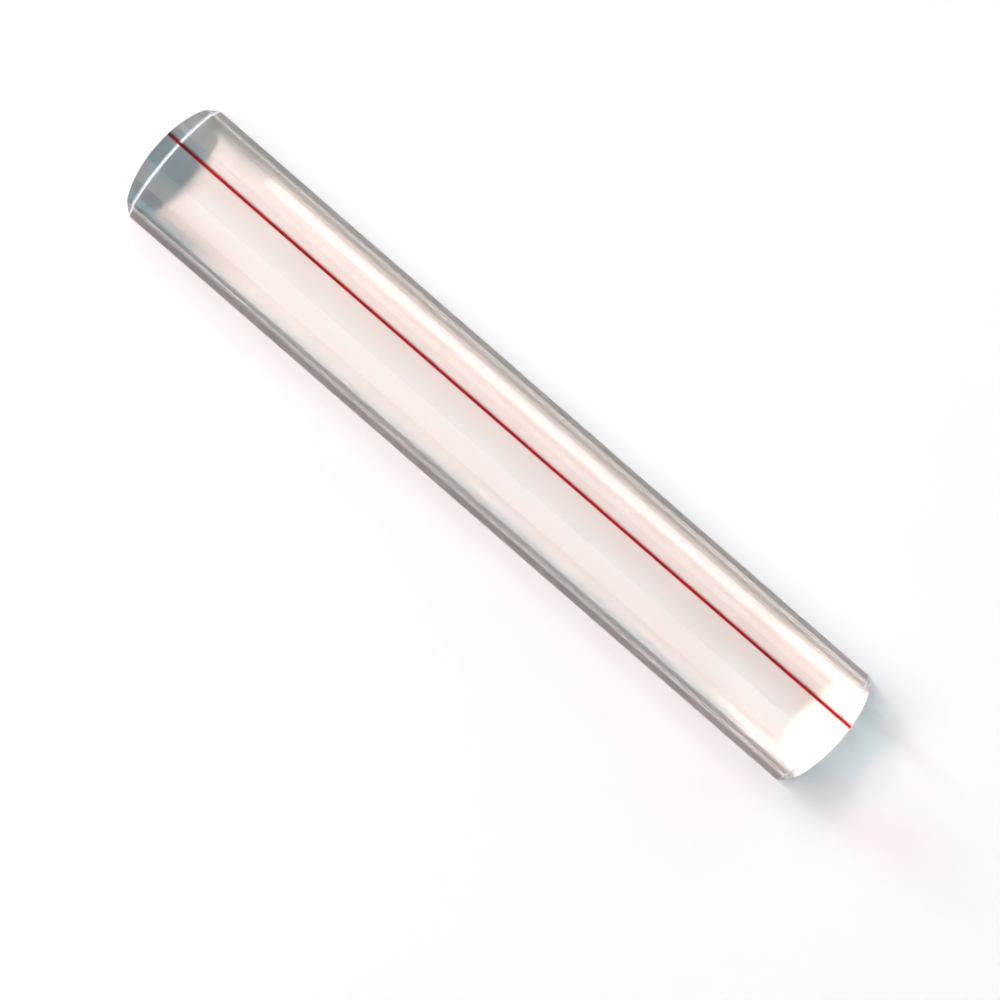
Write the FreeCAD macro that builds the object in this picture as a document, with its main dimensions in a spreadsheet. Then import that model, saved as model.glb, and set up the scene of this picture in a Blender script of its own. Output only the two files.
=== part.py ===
import FreeCAD, Part
import os

import Sketcher

# Bar magnifier: a clear acrylic plano-convex bar with a red guide line let into its flat underside.
#
# Frame, in millimetres: the origin is the middle of the underside, +X runs along the bar, +Y across it
# towards the guide line, and +Z up through the crown of the dome.

ORIGIN = -1
X_AXIS_CURVE = -1
Y_AXIS_CURVE = -2
START, END = 1, 2
VOLUME_SLACK = 1e-6
PLANE_TOLERANCE = 1e-6


# Driving dimensions

DIMENSIONS = {
    "bar_length": (155.0, "end face to end face"),
    "bar_width": (25.0, "across the flat underside"),
    "bar_height": (9.5, "underside to the crown of the dome"),
    "side_lean": (1.9, "how far each long side leans in, from the underside up to its shoulder"),
    "shoulder_height": (4.5, "underside to the shoulders, where the leaning sides meet the dome"),
    "shoulder_round": (0.8, "radius polished on the shoulders"),
    "end_break": (0.2, "bevel on every edge of an end face"),
    "line_width": (0.4, "width of the guide line"),
    "line_depth": (0.3, "depth of the groove that holds the guide line"),
    "line_offset": (2.45, "middle of the guide line from the middle of the bar"),
}


def make_sheet(doc):
    """Write each driving dimension as a plain number with its name as the cell's alias."""
    sheet = doc.addObject("Spreadsheet::Sheet", "sizes")
    for row, (alias, (value, meaning)) in enumerate(DIMENSIONS.items(), start=1):
        sheet.set(f"A{row}", alias)
        sheet.set(f"B{row}", str(value))
        sheet.setAlias(f"B{row}", alias)
        sheet.set(f"C{row}", meaning)
    doc.recompute()
    return sheet


# Shared steps

def new_body(doc, label):
    """Add a body whose label is the sub-part's name."""
    body = doc.addObject("PartDesign::Body", label)
    body.Label = label
    body.Placement = FreeCAD.Placement()
    return body


def section_sketch(body, name):
    """Add a sketch on the body's own YZ plane, so that its pad runs along the bar."""
    sketch = body.newObject("Sketcher::SketchObject", name)
    plane = next(item for item in body.Origin.OriginFeatures if item.Role == "YZ_Plane")
    sketch.AttachmentSupport = [(plane, "")]
    sketch.MapMode = "FlatFace"
    return sketch


def bind(sketch, constraint, name, expression):
    """Add a driving constraint and tie its value to the sheet."""
    index = sketch.addConstraint(constraint)
    sketch.renameConstraint(index, name)
    sketch.setExpression(f"Constraints.{name}", expression)


def add_rectangle(sketch, left, right, top):
    """Draw a closed rectangle that stands on the sketch's horizontal axis; returns its four lines.

    The order is bottom, right, top, left, each starting where the one before it ends.
    """
    corners = [
        FreeCAD.Vector(left, 0, 0),
        FreeCAD.Vector(right, 0, 0),
        FreeCAD.Vector(right, top, 0),
        FreeCAD.Vector(left, top, 0),
    ]
    lines = []
    for number, corner in enumerate(corners):
        following = corners[(number + 1) % len(corners)]
        lines.append(sketch.addGeometry(Part.LineSegment(corner, following), False))
    for number, line in enumerate(lines):
        following = lines[(number + 1) % len(lines)]
        sketch.addConstraint(Sketcher.Constraint("Coincident", line, END, following, START))
    bottom, right_line, top_line, left_line = lines
    sketch.addConstraint(Sketcher.Constraint("Horizontal", bottom))
    sketch.addConstraint(Sketcher.Constraint("Vertical", right_line))
    sketch.addConstraint(Sketcher.Constraint("Horizontal", top_line))
    sketch.addConstraint(Sketcher.Constraint("Vertical", left_line))
    sketch.addConstraint(Sketcher.Constraint("PointOnObject", bottom, START, X_AXIS_CURVE))
    return lines


def draw_line_section(sketch, sheet):
    """Draw the guide line's section: a flat slot that opens at the underside."""
    middle = sheet.line_offset
    half = sheet.line_width / 2
    bottom, right_line, _, _ = add_rectangle(sketch, middle - half, middle + half, sheet.line_depth)
    bind(
        sketch,
        Sketcher.Constraint("DistanceX", bottom, START, bottom, END, sheet.line_width),
        "slot_width",
        "sizes.line_width",
    )
    bind(
        sketch,
        Sketcher.Constraint("DistanceY", right_line, START, right_line, END, sheet.line_depth),
        "slot_depth",
        "sizes.line_depth",
    )
    bind(
        sketch,
        Sketcher.Constraint("DistanceX", ORIGIN, START, bottom, START, middle - half),
        "slot_edge",
        "sizes.line_offset - sizes.line_width / 2",
    )


# Lens bar

def draw_bar_section(sketch, sheet):
    """Draw the section: flat underside, two leaning sides and one arc from shoulder to shoulder."""
    half = sheet.bar_width / 2
    half_shoulder = half - sheet.side_lean
    rise = sheet.bar_height - sheet.shoulder_height
    radius = (half_shoulder**2 + rise**2) / (2 * rise)
    left_foot = FreeCAD.Vector(-half, 0, 0)
    right_foot = FreeCAD.Vector(half, 0, 0)
    left_shoulder = FreeCAD.Vector(-half_shoulder, sheet.shoulder_height, 0)
    right_shoulder = FreeCAD.Vector(half_shoulder, sheet.shoulder_height, 0)
    crown = FreeCAD.Vector(0, sheet.bar_height, 0)

    base = sketch.addGeometry(Part.LineSegment(left_foot, right_foot), False)
    right_side = sketch.addGeometry(Part.LineSegment(right_foot, right_shoulder), False)
    dome = sketch.addGeometry(Part.Arc(right_shoulder, crown, left_shoulder), False)
    left_side = sketch.addGeometry(Part.LineSegment(left_shoulder, left_foot), False)

    sketch.addConstraint(Sketcher.Constraint("Coincident", base, END, right_side, START))
    sketch.addConstraint(Sketcher.Constraint("Coincident", right_side, END, dome, START))
    sketch.addConstraint(Sketcher.Constraint("Coincident", dome, END, left_side, START))
    sketch.addConstraint(Sketcher.Constraint("Coincident", left_side, END, base, START))
    sketch.addConstraint(Sketcher.Constraint("PointOnObject", base, START, X_AXIS_CURVE))
    sketch.addConstraint(Sketcher.Constraint("Symmetric", base, START, base, END, ORIGIN, START))
    sketch.addConstraint(Sketcher.Constraint("Symmetric", left_side, START, right_side, END, Y_AXIS_CURVE))
    bind(
        sketch,
        Sketcher.Constraint("DistanceX", base, START, base, END, sheet.bar_width),
        "base_width",
        "sizes.bar_width",
    )
    bind(
        sketch,
        Sketcher.Constraint("DistanceX", left_side, START, right_side, END, 2 * half_shoulder),
        "shoulder_span",
        "sizes.bar_width - 2 * sizes.side_lean",
    )
    bind(
        sketch,
        Sketcher.Constraint("DistanceY", right_side, START, right_side, END, sheet.shoulder_height),
        "shoulder_rise",
        "sizes.shoulder_height",
    )
    half_words = "(sizes.bar_width / 2 - sizes.side_lean)"
    rise_words = "(sizes.bar_height - sizes.shoulder_height)"
    bind(
        sketch,
        Sketcher.Constraint("Radius", dome, radius),
        "dome_radius",
        f"({half_words}^2 + {rise_words}^2) / (2 * {rise_words})",
    )


def shoulder_edges(shape, sheet):
    """Name the two long edges where the leaning sides meet the dome."""
    names = []
    for number, edge in enumerate(shape.Edges, start=1):
        box = edge.BoundBox
        runs_along = box.XLength > sheet.bar_length / 2
        at_shoulder = abs(box.ZMin - sheet.shoulder_height) < PLANE_TOLERANCE
        if runs_along and at_shoulder:
            names.append(f"Edge{number}")
    return names


def end_edges(shape, sheet):
    """Name every edge that bounds one of the two end faces."""
    names = []
    for number, edge in enumerate(shape.Edges, start=1):
        box = edge.BoundBox
        at_end = abs(abs(box.XMin) - sheet.bar_length / 2) < PLANE_TOLERANCE
        if at_end and box.XLength < PLANE_TOLERANCE:
            names.append(f"Edge{number}")
    return names


def make_lens_bar(doc, sheet):
    """One clear bar: padded section, eased shoulders and end edges, and the guide line's groove."""
    body = new_body(doc, "lens_bar")
    section = section_sketch(body, "bar_section")
    draw_bar_section(section, sheet)
    bar = body.newObject("PartDesign::Pad", "bar_pad")
    bar.Profile = section
    bar.Midplane = True
    bar.setExpression("Length", "sizes.bar_length")
    section.Visibility = False
    doc.recompute()

    shoulders = body.newObject("PartDesign::Fillet", "shoulder_fillet")
    shoulders.Base = (bar, shoulder_edges(bar.Shape, sheet))
    shoulders.setExpression("Radius", "sizes.shoulder_round")
    doc.recompute()

    bevels = body.newObject("PartDesign::Chamfer", "end_bevels")
    bevels.Base = (shoulders, end_edges(shoulders.Shape, sheet))
    bevels.setExpression("Size", "sizes.end_break")
    doc.recompute()

    slot = section_sketch(body, "groove_section")
    draw_line_section(slot, sheet)
    groove = body.newObject("PartDesign::Pocket", "line_groove")
    groove.Profile = slot
    groove.Midplane = True
    groove.setExpression("Length", "sizes.bar_length")
    slot.Visibility = False
    doc.recompute()
    if groove.Shape.Volume > bevels.Shape.Volume - VOLUME_SLACK:
        raise RuntimeError("the groove for the guide line cuts nothing")
    return body


# Guide line

def make_guide_line(doc, sheet):
    """The red filling of the groove, flush with the underside, from bevel to bevel."""
    body = new_body(doc, "guide_line")
    section = section_sketch(body, "line_section")
    draw_line_section(section, sheet)
    line = body.newObject("PartDesign::Pad", "line_pad")
    line.Profile = section
    line.Midplane = True
    line.setExpression("Length", "sizes.bar_length - 2 * sizes.end_break")
    section.Visibility = False
    doc.recompute()
    return body


# Checks and files

def check_document(doc, bodies):
    """Stop on any failed object or unsound shape before a file is written."""
    for item in doc.Objects:
        if "Invalid" in item.State or "Error" in item.State:
            raise RuntimeError(f"{item.Name} failed: {item.State}")
    for body in bodies:
        if body.Shape.isNull() or not body.Shape.isValid():
            raise RuntimeError(f"{body.Label} has an unsound shape")
        if len(body.Shape.Solids) != 1:
            raise RuntimeError(f"{body.Label} has {len(body.Shape.Solids)} solids, not one")


def main():
    """Build the two sub-parts and write one file for each."""
    doc = FreeCAD.newDocument("bar_magnifier")
    sheet = make_sheet(doc)
    bodies = [make_lens_bar(doc, sheet), make_guide_line(doc, sheet)]
    doc.recompute()
    check_document(doc, bodies)
    os.makedirs("parts", exist_ok=True)
    for body in bodies:
        body.Shape.exportStep(os.path.join("parts", f"{body.Label}.step"))
        print(f"{body.Label}: {body.Shape.Volume:.1f} mm3")


main()
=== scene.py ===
"""Clear acrylic bar magnifier on white studio paper, lit by six soft lamps, most of them low.

Metres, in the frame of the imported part: the origin is the middle of the underside, +X runs along the bar,
+Y across it towards the guide line and +Z up through the crown of the dome.
"""

from __future__ import annotations

import logging
import math
from dataclasses import dataclass, field
from enum import Enum, IntEnum

import bmesh
import bpy
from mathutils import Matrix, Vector

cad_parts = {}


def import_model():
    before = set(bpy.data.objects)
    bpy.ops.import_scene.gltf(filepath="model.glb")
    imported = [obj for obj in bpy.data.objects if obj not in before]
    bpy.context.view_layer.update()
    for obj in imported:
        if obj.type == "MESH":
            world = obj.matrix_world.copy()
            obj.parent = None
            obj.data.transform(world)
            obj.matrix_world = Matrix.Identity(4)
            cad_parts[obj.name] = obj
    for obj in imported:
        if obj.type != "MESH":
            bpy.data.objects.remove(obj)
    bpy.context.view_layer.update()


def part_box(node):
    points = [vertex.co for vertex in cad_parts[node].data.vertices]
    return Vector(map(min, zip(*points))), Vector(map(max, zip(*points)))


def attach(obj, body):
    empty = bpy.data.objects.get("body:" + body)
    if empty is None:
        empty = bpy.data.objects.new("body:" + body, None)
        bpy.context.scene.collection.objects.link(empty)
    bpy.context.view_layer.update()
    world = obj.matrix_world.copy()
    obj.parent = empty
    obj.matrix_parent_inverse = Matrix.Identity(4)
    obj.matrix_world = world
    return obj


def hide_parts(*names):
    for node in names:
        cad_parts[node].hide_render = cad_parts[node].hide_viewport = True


MM = 0.001
LOG = logging.getLogger("bar_magnifier")

Colour = tuple[float, float, float, float]
Point = tuple[float, float]
Ring = list[bmesh.types.BMVert]
Settings = dict[str | int, object]
Links = dict[str | int, bpy.types.NodeSocket]

WHITE = (1.0, 1.0, 1.0, 1.0)

# The sRGB curve is straight up to the knee and a power above it.
SRGB_KNEE = 0.04045
SRGB_FOOT = 12.92
SRGB_SHIFT = 0.055
SRGB_POWER = 2.4

# Sockets of the Mix node for colours, which go by number because their names repeat.
MIX_SHARE = 0
MIX_FIRST = 6
MIX_SECOND = 7
MIX_COLOUR = 2

# Light Path counts bounces in whole numbers, so a ray under this has not met paper yet.
BEFORE_FIRST_BOUNCE = 0.5

# The groove's mouth and roof corners, which come last in the bar's section.
GROOVE_CORNERS = 4


# Colours and nodes

def linear(hex_colour: str) -> Colour:
    """Turn an sRGB hex colour into a linear colour.

    Args:
        hex_colour: six hex digits with a leading hash sign.

    Returns:
        Linear red, green and blue with an opaque alpha.
    """
    channels = []
    for start in (1, 3, 5):
        value = int(hex_colour[start:start + 2], 16) / 255
        if value <= SRGB_KNEE:
            channels.append(value / SRGB_FOOT)
        else:
            channels.append(((value + SRGB_SHIFT) / (1 + SRGB_SHIFT)) ** SRGB_POWER)
    return (channels[0], channels[1], channels[2], 1.0)


def add_node(tree: bpy.types.NodeTree, kind: str, settings: Settings | None = None,
             links: Links | None = None) -> bpy.types.Node:
    """Add one node, give it its settings and feed its inputs.

    Args:
        tree: the node tree that gets the node.
        kind: the node's type name in Blender.
        settings: values by name; a number or an input's name sets that input, any other name an attribute.
        links: input name or number to the output socket that feeds it.

    Returns:
        The new node.
    """
    node = tree.nodes.new(kind)
    for key, value in (settings or {}).items():
        if isinstance(key, int) or key in node.inputs:
            node.inputs[key].default_value = value
        else:
            setattr(node, key, value)
    for key, output in (links or {}).items():
        tree.links.new(output, node.inputs[key])
    return node


def new_material(name: str) -> tuple[bpy.types.Material, bpy.types.NodeTree]:
    """Make a material with an empty node tree.

    Args:
        name: the real material and how its surface was made.

    Returns:
        The material and its tree.
    """
    material = bpy.data.materials.new(name)
    material.use_nodes = True
    material.node_tree.nodes.clear()
    return material, material.node_tree


def first_look(tree: bpy.types.NodeTree) -> bpy.types.NodeSocket:
    """Tell rays that come from the camera, straight or through acrylic, from those that paper scattered.

    Args:
        tree: the tree that gets the nodes.

    Returns:
        The socket that gives 1 for such a ray and 0 for any other.
    """
    path = add_node(tree, "ShaderNodeLightPath")
    unscattered = add_node(tree, "ShaderNodeMath", {"operation": "LESS_THAN", 1: BEFORE_FIRST_BOUNCE},
                           {0: path.outputs["Diffuse Depth"]})
    kind = path.outputs["Is Camera Ray"]
    for other in ("Is Transmission Ray", "Is Glossy Ray"):
        either = add_node(tree, "ShaderNodeMath", {"operation": "MAXIMUM"},
                          {0: kind, 1: path.outputs[other]})
        kind = either.outputs[0]
    look = add_node(tree, "ShaderNodeMath", {"operation": "MULTIPLY"}, {0: unscattered.outputs[0], 1: kind})
    return look.outputs[0]


# Finishes

@dataclass(frozen=True)
class ExtrudedAcrylic:
    """Water-white PMMA, extruded and polished: glassy, with faint die lines along it and a few specks."""

    # PMMA pulled through a die and polished: clear and colourless, so the eye sees only bent and doubled
    # light, long soft streaks where the die left lines, and here and there a dark dot of dirt.
    # Real die lines lie about 0.2 mm apart and are drawn 1.1 mm apart, because finer ones are under a pixel.
    # Real specks are about 0.05 mm wide and are drawn 0.16 mm wide for the same reason.
    name: str = "acrylic_extruded_polished"
    tint: str = "#FFFEFD"
    ior: float = 1.49
    roughness: float = 0.0
    die_line_mm: float = 1.1
    die_line_stretch: float = 0.004
    die_line_height_mm: float = 0.002
    die_line_detail: float = 3.0
    speck_grid_mm: float = 9.0
    speck_mm: float = 0.16
    speck_core: float = 0.5
    speck_share: float = 0.3
    speck_colour: str = "#5E6264"

    def die_lines(self, tree: bpy.types.NodeTree, place: bpy.types.NodeSocket) -> bpy.types.NodeSocket:
        """Draw the shallow lines that the die leaves along the bar.

        Args:
            tree: the material's tree.
            place: the texture coordinates.

        Returns:
            The socket of the surface's direction.
        """
        along = add_node(tree, "ShaderNodeMapping", {"Scale": (self.die_line_stretch, 1.0, 1.0)},
                         {"Vector": place})
        lines = add_node(tree, "ShaderNodeTexNoise", {
            "Scale": 1 / (self.die_line_mm * MM),
            "Detail": self.die_line_detail,
        }, {"Vector": along.outputs["Vector"]})
        bump = add_node(tree, "ShaderNodeBump", {
            "Strength": 1.0,
            "Distance": self.die_line_height_mm * MM,
        }, {"Height": lines.outputs["Fac"]})
        return bump.outputs["Normal"]

    def specks(self, tree: bpy.types.NodeTree, place: bpy.types.NodeSocket) -> bpy.types.NodeSocket:
        """Scatter a few tiny dark specks: a small round spot in some cells of a coarse grid.

        Args:
            tree: the material's tree.
            place: the texture coordinates.

        Returns:
            The socket of the acrylic's colour, which is dark on a speck.
        """
        cells = add_node(tree, "ShaderNodeTexVoronoi", {"Scale": 1 / (self.speck_grid_mm * MM)},
                         {"Vector": place})
        radius = self.speck_mm / self.speck_grid_mm / 2
        spot = add_node(tree, "ShaderNodeMapRange", {
            "From Min": radius,
            "From Max": radius * self.speck_core,
        }, {"Value": cells.outputs["Distance"]})
        chance = add_node(tree, "ShaderNodeSeparateColor", links={"Color": cells.outputs["Color"]})
        kept = add_node(tree, "ShaderNodeMath", {"operation": "LESS_THAN", 1: self.speck_share},
                        {0: chance.outputs["Red"]})
        here = add_node(tree, "ShaderNodeMath", {"operation": "MULTIPLY"},
                        {0: spot.outputs[0], 1: kept.outputs[0]})
        colour = add_node(tree, "ShaderNodeMix", {
            "data_type": "RGBA",
            MIX_FIRST: linear(self.tint),
            MIX_SECOND: linear(self.speck_colour),
        }, {MIX_SHARE: here.outputs[0]})
        return colour.outputs[MIX_COLOUR]

    def material(self) -> bpy.types.Material:
        """Build the material.

        Returns:
            Clear acrylic whose polish carries fine lines drawn out along the bar.
        """
        material, tree = new_material(self.name)
        place = add_node(tree, "ShaderNodeTexCoord").outputs["Object"]
        shader = add_node(tree, "ShaderNodeBsdfPrincipled", {
            "IOR": self.ior,
            "Roughness": self.roughness,
            "Transmission Weight": 1.0,
        }, {
            "Base Color": self.specks(tree, place),
            "Normal": self.die_lines(tree, place),
        })
        add_node(tree, "ShaderNodeOutputMaterial", links={"Surface": shader.outputs["BSDF"]})
        return material


@dataclass(frozen=True)
class SandedAcrylic:
    """Acrylic arris broken with fine paper: it scatters light, so it reads as a pale line."""

    # Acrylic sanded by hand along the edge: frosted instead of clear, so the eye sees a thin white line.
    # The real scratches are about 0.02 mm wide and are drawn 0.12 mm wide, as finer ones are under a pixel.
    name: str = "acrylic_sanded_edge"
    tint: str = "#FFFDFA"
    ior: float = 1.49
    roughness: float = 0.45
    roughness_spread: float = 0.15
    grit_mm: float = 0.12
    grit_detail: float = 3.0

    def material(self) -> bpy.types.Material:
        """Build the material.

        Returns:
            Acrylic with a satin, slightly uneven surface.
        """
        material, tree = new_material(self.name)
        place = add_node(tree, "ShaderNodeTexCoord").outputs["Object"]
        grit = add_node(tree, "ShaderNodeTexNoise", {
            "Scale": 1 / (self.grit_mm * MM),
            "Detail": self.grit_detail,
        }, {"Vector": place})
        rough = add_node(tree, "ShaderNodeMapRange", {
            "To Min": self.roughness - self.roughness_spread,
            "To Max": self.roughness + self.roughness_spread,
        }, {"Value": grit.outputs["Fac"]})
        shader = add_node(tree, "ShaderNodeBsdfPrincipled", {
            "Base Color": linear(self.tint),
            "IOR": self.ior,
            "Transmission Weight": 1.0,
        }, {"Roughness": rough.outputs["Result"]})
        add_node(tree, "ShaderNodeOutputMaterial", links={"Surface": shader.outputs["BSDF"]})
        return material


@dataclass(frozen=True)
class RedPaint:
    """Red enamel wiped into the groove: dense, with slight changes of depth along the line."""

    # Enamel wiped into a groove and left to dry: a deep, even red line that turns a little lighter every
    # few millimetres, where less paint stayed in. The patches have their real scale.
    # The paint sticks to acrylic of about its own index, so the line has no gloss of its own.
    name: str = "enamel_red_filled"
    thick: str = "#A80206"
    thin: str = "#BE0A0C"
    roughness: float = 0.42
    gloss: float = 0.0
    patch_mm: float = 2.4
    patch_detail: float = 4.0
    ripple: float = 0.3
    ripple_height_mm: float = 0.02

    def material(self) -> bpy.types.Material:
        """Build the material.

        Returns:
            Opaque red paint, a little lighter where it was wiped thin.
        """
        material, tree = new_material(self.name)
        place = add_node(tree, "ShaderNodeTexCoord").outputs["Object"]
        patches = add_node(tree, "ShaderNodeTexNoise", {
            "Scale": 1 / (self.patch_mm * MM),
            "Detail": self.patch_detail,
        }, {"Vector": place})
        colour = add_node(tree, "ShaderNodeMix", {
            "data_type": "RGBA",
            MIX_FIRST: linear(self.thick),
            MIX_SECOND: linear(self.thin),
        }, {MIX_SHARE: patches.outputs["Fac"]})
        bump = add_node(tree, "ShaderNodeBump", {
            "Strength": self.ripple,
            "Distance": self.ripple_height_mm * MM,
        }, {"Height": patches.outputs["Fac"]})
        shader = add_node(tree, "ShaderNodeBsdfPrincipled", {
            "Roughness": self.roughness,
            "Specular IOR Level": self.gloss,
        }, {
            "Base Color": colour.outputs[MIX_COLOUR],
            "Normal": bump.outputs["Normal"],
        })
        add_node(tree, "ShaderNodeOutputMaterial", links={"Surface": shader.outputs["BSDF"]})
        return material


@dataclass(frozen=True)
class StudioPaper:
    """White background paper: matt, with a faint fibre; it throws back less light than it shows."""

    # Uncoated white paper: flat and even to the eye, with a cloudiness of about a millimetre, which is its
    # real scale. The light that it throws back is kept low, so that it doesn't fill the dark bands.
    name: str = "paper_white_matt"
    shown: str = "#FFFFFF"
    thrown_back: str = "#D6D6D6"
    fibre_mm: float = 0.8
    fibre_detail: float = 4.0
    fibre_depth: float = 0.006

    def material(self) -> bpy.types.Material:
        """Build the material.

        Returns:
            Matt paper whose white changes a little from fibre to fibre.
        """
        material, tree = new_material(self.name)
        place = add_node(tree, "ShaderNodeTexCoord").outputs["Object"]
        fibres = add_node(tree, "ShaderNodeTexNoise", {
            "Scale": 1 / (self.fibre_mm * MM),
            "Detail": self.fibre_detail,
        }, {"Vector": place})
        white = linear(self.shown)
        dimmer = tuple(channel * (1 - self.fibre_depth) for channel in white[:3]) + (1.0,)
        sheet = add_node(tree, "ShaderNodeMix", {
            "data_type": "RGBA",
            MIX_FIRST: dimmer,
            MIX_SECOND: white,
        }, {MIX_SHARE: fibres.outputs["Fac"]})
        colour = add_node(tree, "ShaderNodeMix", {
            "data_type": "RGBA",
            MIX_FIRST: linear(self.thrown_back),
        }, {
            MIX_SHARE: first_look(tree),
            MIX_SECOND: sheet.outputs[MIX_COLOUR],
        })
        paper = add_node(tree, "ShaderNodeBsdfDiffuse", links={"Color": colour.outputs[MIX_COLOUR]})
        add_node(tree, "ShaderNodeOutputMaterial", links={"Surface": paper.outputs["BSDF"]})
        return material


# The object

class Surface(IntEnum):
    """Which finish a face of the lens bar takes; the number is its material slot."""

    POLISHED = 0
    SANDED = 1
    PAINTED = 2


@dataclass(frozen=True)
class Corner:
    """One point of the bar's section, with the finish of the face that starts there."""

    y: float
    z: float
    surface: Surface = Surface.POLISHED


@dataclass
class GuideLine:
    """Red paint that fills the groove in the underside; sizes in metres, the angle in degrees."""

    length: float
    width: float
    depth: float
    offset: float
    clearance: float = 0.008 * MM
    meniscus: float = 0.02 * MM
    steps_along: int = 120
    steps_across: int = 6
    sharp_angle: float = 30.0
    paint: RedPaint = field(default_factory=RedPaint)

    @classmethod
    def from_frame(cls) -> GuideLine:
        """Take length, width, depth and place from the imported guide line."""
        low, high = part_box("guide_line")
        return cls(high.x - low.x, high.y - low.y, high.z - low.z, offset=(low.y + high.y) / 2)

    def mesh(self) -> bpy.types.Mesh:
        """Build the paint as a strip whose underside dips a little, as wiped paint dries.

        Returns:
            A closed mesh.
        """
        half = self.width / 2 - self.clearance
        top = self.depth - self.clearance
        section = [(self.offset + half, top), (self.offset - half, top)]
        for step in range(self.steps_across + 1):
            across = -1 + 2 * step / self.steps_across
            dip = self.meniscus * (1 - across * across)
            section.append((self.offset + across * half, dip + self.clearance))
        shape = bmesh.new()
        rings = []
        for step in range(self.steps_along + 1):
            x = (step / self.steps_along - 0.5) * self.length
            rings.append([shape.verts.new((x, y, z)) for y, z in section])
        skin(shape, rings)
        shape.faces.new(rings[0])
        shape.faces.new(list(reversed(rings[-1])))
        return finished_mesh(shape, "guide_line_paint", self.sharp_angle)

    def build(self) -> bpy.types.Object:
        """Build the strip, dress it and let it stand for the CAD guide line.

        Returns:
            The strip's object.
        """
        strip = link_object("guide_line_paint", self.mesh())
        strip.data.materials.append(self.paint.material())
        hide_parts("guide_line")
        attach(strip, "root")
        return strip


@dataclass
class LensBar:
    """Plano-convex bar with leaning sides, eased shoulders and bevelled ends; metres and degrees."""

    length: float
    width: float
    height: float
    line: GuideLine
    side_lean: float = 1.9 * MM
    shoulder_height: float = 4.5 * MM
    shoulder_round: float = 0.8 * MM
    end_break: float = 0.2 * MM
    dome_steps: int = 220
    round_steps: int = 20
    steps_along: int = 40
    halvings: int = 60
    sharp_angle: float = 12.0
    polish: ExtrudedAcrylic = field(default_factory=ExtrudedAcrylic)
    edge: SandedAcrylic = field(default_factory=SandedAcrylic)

    @classmethod
    def from_frame(cls) -> LensBar:
        """Take length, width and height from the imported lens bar, and its line from the guide line."""
        low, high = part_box("lens_bar")
        return cls(high.x - low.x, high.y - low.y, high.z - low.z, line=GuideLine.from_frame())

    def dome(self) -> tuple[float, float]:
        """Work out the dome's arc from shoulder to shoulder over the crown.

        Returns:
            Radius of the arc and height of its centre.
        """
        half = self.width / 2 - self.side_lean
        rise = self.height - self.shoulder_height
        radius = (half * half + rise * rise) / (2 * rise)
        return radius, self.height - radius

    def shoulder(self) -> tuple[Point, float, float]:
        """Place the small round that eases the shoulder on the +Y side.

        Its centre keeps the round's radius from the side, and halving finds how far up the side it touches
        the dome from within.

        Returns:
            Centre of the round, and the angles of its first and last point, seen from +X.
        """
        radius, centre_z = self.dome()
        foot = self.width / 2
        side = Vector((-self.side_lean, self.shoulder_height)).normalized()
        outward = Vector((side.y, -side.x))
        low, high = 0.0, math.hypot(self.side_lean, self.shoulder_height)
        for _ in range(self.halvings):
            middle = (low + high) / 2
            y = foot + middle * side.x - self.shoulder_round * outward.x
            z = middle * side.y - self.shoulder_round * outward.y
            if math.hypot(y, z - centre_z) < radius - self.shoulder_round:
                low = middle
            else:
                high = middle
        return (y, z), math.atan2(outward.y, outward.x), math.atan2(z - centre_z, y)

    def outline(self) -> list[Corner]:
        """Walk once round the section, from the +Y foot over the dome and back along the underside.

        Returns:
            The corners, counter-clockwise as seen from +X.
        """
        radius, centre_z = self.dome()
        (round_y, round_z), first, last = self.shoulder()
        upper = [(self.width / 2, 0.0)]
        for step in range(self.round_steps + 1):
            angle = first + (last - first) * step / self.round_steps
            upper.append((round_y + self.shoulder_round * math.cos(angle),
                          round_z + self.shoulder_round * math.sin(angle)))
        for step in range(1, self.dome_steps // 2 + 1):
            angle = last + (math.pi / 2 - last) * 2 * step / self.dome_steps
            upper.append((radius * math.cos(angle), centre_z + radius * math.sin(angle)))
        corners = [Corner(y, z) for y, z in upper]
        corners += [Corner(-y, z) for y, z in reversed(upper[:-1])]
        left = self.line.offset - self.line.width / 2
        right = self.line.offset + self.line.width / 2
        corners.append(Corner(left, 0.0, Surface.PAINTED))
        corners.append(Corner(left, self.line.depth, Surface.PAINTED))
        corners.append(Corner(right, self.line.depth, Surface.PAINTED))
        corners.append(Corner(right, 0.0))
        return corners

    def bevelled(self, corners: list[Corner]) -> list[Point]:
        """Draw the end face's outline, set in from the section by the bevel.

        Args:
            corners: the section's corners, the groove's last.

        Returns:
            One point for each corner but the groove's.
        """
        hull = corners[:-GROOVE_CORNERS]
        points = []
        for number, here in enumerate(hull):
            before, after = hull[number - 1], hull[(number + 1) % len(hull)]
            first = Vector((here.z - before.z, before.y - here.y)).normalized()
            second = Vector((after.z - here.z, here.y - after.y)).normalized()
            shift = (first + second) * self.end_break / (1 + first.dot(second))
            points.append((here.y - shift.x, here.z - shift.y))
        return points

    def mesh(self) -> bpy.types.Mesh:
        """Build the bar as one closed mesh with its groove and its bevelled ends.

        Returns:
            The mesh; each face has the material slot of its surface.
        """
        corners = self.outline()
        shape = bmesh.new()
        reach = self.length / 2 - self.end_break
        rings = []
        for step in range(self.steps_along + 1):
            x = (2 * step / self.steps_along - 1) * reach
            rings.append([shape.verts.new((x, corner.y, corner.z)) for corner in corners])
        ends = ((rings[0], -self.length / 2), (rings[-1], self.length / 2))
        for ring, end_x in ends:
            _, left_roof, right_roof, _ = ring[-GROOVE_CORNERS:]
            left_roof.co.x = end_x
            right_roof.co.x = end_x
        skin(shape, rings, [corner.surface for corner in corners])
        for ring, end_x in ends:
            self.close_end(shape, ring, self.bevelled(corners), end_x)
        return finished_mesh(shape, "lens_bar_acrylic", self.sharp_angle)

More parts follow.
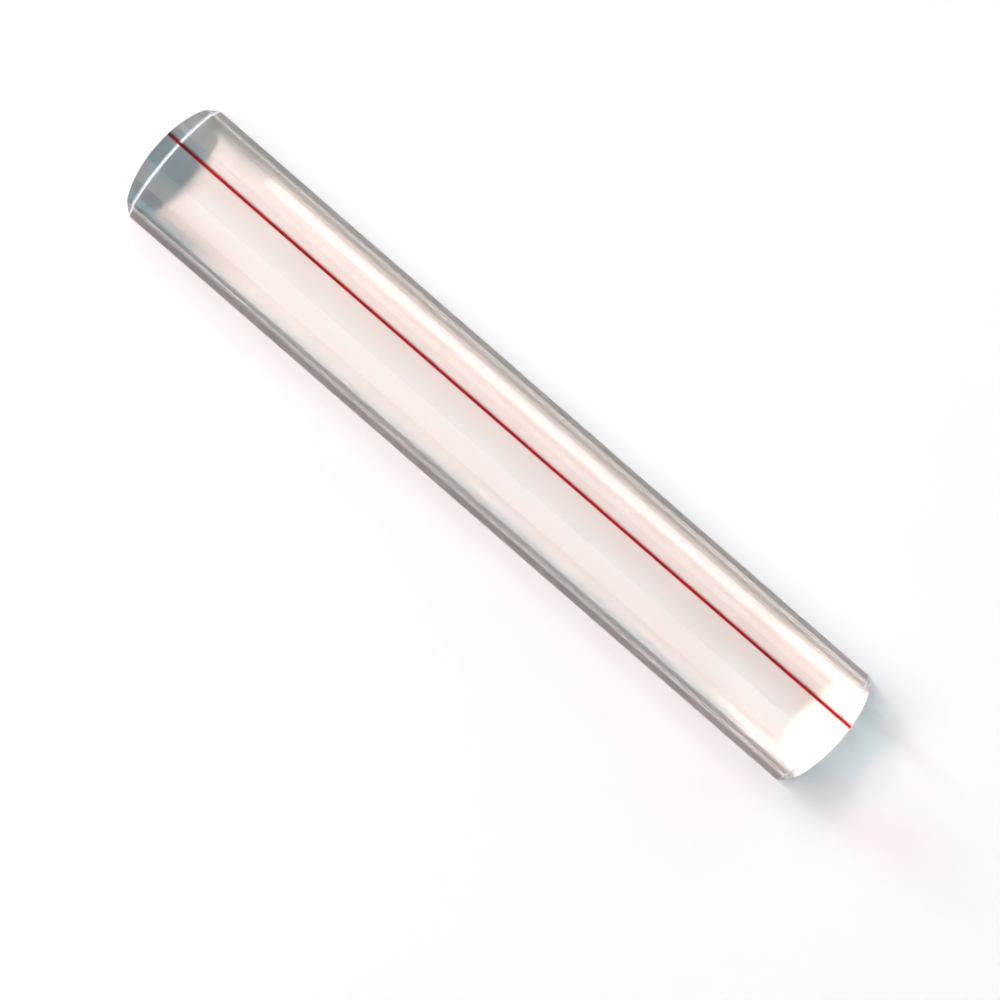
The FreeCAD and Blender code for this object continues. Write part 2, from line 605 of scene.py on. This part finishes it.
    def close_end(self, shape: bmesh.types.BMesh, ring: Ring, outline: list[Point], end_x: float) -> None:
        """Add the bevel and the flat face of one end; the groove is deeper than the bevel and cuts both.

        Args:
            shape: the mesh under way.
            ring: the section's last ring, the groove's corners last.
            outline: the end face's outline without the groove.
            end_x: where the end face stands.
        """
        far_foot = ring[-GROOVE_CORNERS - 1]
        left_mouth, left_roof, right_roof, right_mouth = ring[-GROOVE_CORNERS:]
        face_ring = [shape.verts.new((end_x, y, z)) for y, z in outline]
        left = shape.verts.new((end_x, left_mouth.co.y, self.end_break))
        right = shape.verts.new((end_x, right_mouth.co.y, self.end_break))
        for number in range(len(face_ring) - 1):
            shape.faces.new((ring[number], ring[number + 1], face_ring[number + 1], face_ring[number]))
        left_bevel = (far_foot, left_mouth, left, face_ring[-1])
        right_bevel = (right_mouth, ring[0], face_ring[0], right)
        for under in (left_bevel, right_bevel):
            shape.faces.new(under).material_index = Surface.SANDED
        for wall in ((left_mouth, left_roof, left), (right_roof, right_mouth, right)):
            shape.faces.new(wall).material_index = Surface.PAINTED
        shape.faces.new(face_ring + [left, left_roof, right_roof, right])

    def build(self) -> bpy.types.Object:
        """Build the bar, dress it and let it stand for the CAD lens bar.

        Returns:
            The bar's object.
        """
        bar = link_object("lens_bar_acrylic", self.mesh())
        for finish in (self.polish, self.edge, self.line.paint):
            bar.data.materials.append(finish.material())
        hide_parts("lens_bar")
        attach(bar, "root")
        return bar


# Mesh helpers

def skin(shape: bmesh.types.BMesh, rings: list[Ring], slots: list[int] | None = None) -> None:
    """Join neighbouring rings of vertices with quads, closed round each ring.

    Args:
        shape: the mesh under way.
        rings: rings of equally many vertices.
        slots: material slot of the side that starts at each vertex of a ring; left out, all take the first.
    """
    for first, second in zip(rings, rings[1:]):
        for number in range(len(first)):
            following = (number + 1) % len(first)
            face = shape.faces.new((first[number], first[following], second[following], second[number]))
            if slots:
                face.material_index = slots[number]


def finished_mesh(shape: bmesh.types.BMesh, name: str, sharp_angle: float) -> bpy.types.Mesh:
    """Turn the normals outwards, shade smooth between sharp edges and write the mesh.

    Args:
        shape: the closed mesh under way; it is freed.
        name: name of the mesh.
        sharp_angle: edges that turn by more than this many degrees stay sharp.

    Returns:
        The mesh.
    """
    bmesh.ops.recalc_face_normals(shape, faces=shape.faces)
    for face in shape.faces:
        face.smooth = True
    for edge in shape.edges:
        edge.smooth = math.degrees(edge.calc_face_angle()) < sharp_angle
    mesh = bpy.data.meshes.new(name)
    shape.to_mesh(mesh)
    shape.free()
    return mesh


def link_object(name: str, data: bpy.types.ID) -> bpy.types.Object:
    """Make an object for some data and link it to the scene.

    Args:
        name: name of the object.
        data: the mesh, lamp or camera that it holds.

    Returns:
        The object.
    """
    thing = bpy.data.objects.new(name, data)
    bpy.context.scene.collection.objects.link(thing)
    return thing


# Studio

class Head(Enum):
    """Outline of a lamp's diffuser."""

    ROUND = "DISK"
    STRIP = "RECTANGLE"

    def area(self, width: float, height: float) -> float:
        """Work out the diffuser's area from its width and height."""
        return width * height * (math.pi / 4 if self is Head.ROUND else 1.0)


@dataclass(frozen=True)
class Softbox:
    """A diffused lamp aimed at the bar, placed by its direction and by how wide and high it looks.

    Angles are in degrees: azimuth 0 is +X and 90 is +Y, and elevation counts up from the paper.
    """

    name: str
    azimuth: float
    elevation: float
    half_width: float
    half_height: float
    radiance: float
    colour: str
    head: Head = Head.STRIP
    distance: float = 2.0

    def build(self) -> bpy.types.Object:
        """Hang the lamp.

        Returns:
            The lamp's object.
        """
        lamp = bpy.data.lights.new(self.name, "AREA")
        lamp.shape = self.head.value
        lamp.size = 2 * self.distance * math.tan(math.radians(self.half_width))
        lamp.size_y = 2 * self.distance * math.tan(math.radians(self.half_height))
        lamp.energy = self.radiance * math.pi * self.head.area(lamp.size, lamp.size_y)
        lamp.color = linear(self.colour)[:3]
        thing = link_object(self.name, lamp)
        thing.visible_camera = False
        azimuth, elevation = math.radians(self.azimuth), math.radians(self.elevation)
        towards = Vector((math.cos(azimuth) * math.cos(elevation),
                          math.sin(azimuth) * math.cos(elevation),
                          math.sin(elevation)))
        thing.location = towards * self.distance
        thing.rotation_euler = towards.to_track_quat("Z", "Y").to_euler()
        return thing


def soft_lamps() -> tuple[Softbox, ...]:
    """Plan the lamps; together they light the open paper about as a plain white light would.

    Returns:
        The six lamps.
    """
    return (
        # Wide and low beyond the -X end: its light enters the dome but not the last millimetres at that
        # end, which stay dark, and the other end face doubles it.
        Softbox("key_start", 180.0, 35.0, 50.0, 8.0, radiance=10.3, colour="#FFE1D8"),
        # Large, halfway up in front: mirrored along the lower half of the dome, and it crosses the bar to
        # the paper under the upper half.
        Softbox("warm_front", 268.0, 50.0, 28.0, 18.0, radiance=1.4, colour="#FFFBF4"),
        # Nearly level with the bar, beyond the -X end: adds cool light along the middle.
        Softbox("key_low", 173.0, 14.0, 8.0, 8.0, radiance=29.0, colour="#AEF2FF", head=Head.ROUND),
        # Long strip behind: crosses the bar to the paper under the lower half and the lower shoulder.
        Softbox("back_strip", 90.0, 40.0, 38.0, 5.0, radiance=1.6, colour="#FFFFFF"),
        # Low behind: mirrored as the white band along the upper half of the dome.
        Softbox("cool_back", 88.0, 15.0, 24.0, 10.0, radiance=3.8, colour="#B0F0FF"),
        # Low beyond the +X end: gives the dark zone its blue.
        Softbox("cool_end", 0.0, 14.0, 14.0, 4.0, radiance=14.6, colour="#40CFFF"),
    )


@dataclass
class Studio:
    """Paper floor, soft lamps, dim room and the camera that looks straight down; metres and degrees."""

    paper: StudioPaper = field(default_factory=StudioPaper)
    lamps: tuple[Softbox, ...] = field(default_factory=soft_lamps)
    floor_size: float = 0.8
    floor_drop: float = 0.05 * MM
    camera_height: float = 183.8 * MM
    camera_x: float = 6.59 * MM
    camera_y: float = -7.22 * MM
    camera_roll: float = 41.03
    camera_clip: float = 1.0 * MM
    frame_width: float = 180.0 * MM
    sensor: float = 36.0
    mirrored_room: float = 0.4
    light_bounces: int = 16
    glossy_bounces: int = 8
    diffuse_bounces: int = 6

    def build_floor(self) -> bpy.types.Object:
        """Lay the paper just under the bar.

        Returns:
            The floor's object.
        """
        half = self.floor_size / 2
        mesh = bpy.data.meshes.new("floor_paper")
        corners = [(-half, -half), (half, -half), (half, half), (-half, half)]
        mesh.from_pydata([(x, y, -self.floor_drop) for x, y in corners], [], [(0, 1, 2, 3)])
        floor = link_object("floor_paper", mesh)
        mesh.materials.append(self.paper.material())
        return floor

    def build_camera(self) -> bpy.types.Object:
        """Hang the camera over the bar, looking straight down.

        Returns:
            The camera's object.
        """
        data = bpy.data.cameras.new("camera_overhead")
        data.sensor_width = self.sensor
        data.lens = self.sensor * self.camera_height / self.frame_width
        data.clip_start = self.camera_clip
        camera = link_object("camera_overhead", data)
        camera.location = (self.camera_x, self.camera_y, self.camera_height)
        camera.rotation_euler = (0.0, 0.0, math.radians(self.camera_roll))
        bpy.context.scene.camera = camera
        return camera

    def build_room(self) -> bpy.types.World:
        """Close the room off: it gives no light, and looks white straight on but dimmer in a reflection.

        Returns:
            The world.
        """
        room = bpy.data.worlds.new("studio_room")
        bpy.context.scene.world = room
        room.use_nodes = True
        tree = room.node_tree
        tree.nodes.clear()
        path = add_node(tree, "ShaderNodeLightPath")
        level = add_node(tree, "ShaderNodeMapRange", {"To Min": 1.0, "To Max": self.mirrored_room},
                         {"Value": path.outputs["Glossy Depth"]})
        seen = add_node(tree, "ShaderNodeMath", {"operation": "MULTIPLY"},
                        {0: first_look(tree), 1: level.outputs[0]})
        back = add_node(tree, "ShaderNodeBackground", {"Color": WHITE}, {"Strength": seen.outputs[0]})
        add_node(tree, "ShaderNodeOutputWorld", links={"Surface": back.outputs[0]})
        return room

    def follow_light(self) -> None:
        """Let light be followed far through acrylic, with its bright lines neither blurred nor cut off."""
        cycles = bpy.context.scene.cycles
        cycles.blur_glossy = 0.0
        cycles.sample_clamp_indirect = 0.0
        cycles.use_guiding = True
        cycles.max_bounces = self.light_bounces
        cycles.transmission_bounces = self.light_bounces
        cycles.glossy_bounces = self.glossy_bounces
        cycles.diffuse_bounces = self.diffuse_bounces

    def build(self) -> None:
        """Set up the floor, the room, the lamps, the camera and how light is followed."""
        self.build_floor()
        self.build_room()
        for lamp in self.lamps:
            lamp.build()
            LOG.info("lamp %s at azimuth %.0f, elevation %.0f", lamp.name, lamp.azimuth, lamp.elevation)
        self.build_camera()
        self.follow_light()
        bpy.context.scene.view_settings.view_transform = "Standard"


def main() -> None:
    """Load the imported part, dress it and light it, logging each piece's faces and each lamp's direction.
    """
    logging.basicConfig(level=logging.INFO, format="%(name)s: %(message)s")
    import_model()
    bar = LensBar.from_frame()
    for piece in (bar.build(), bar.line.build()):
        LOG.info("built %s with %d faces", piece.name, len(piece.data.polygons))
    Studio().build()


if __name__ == "__main__":
    main()
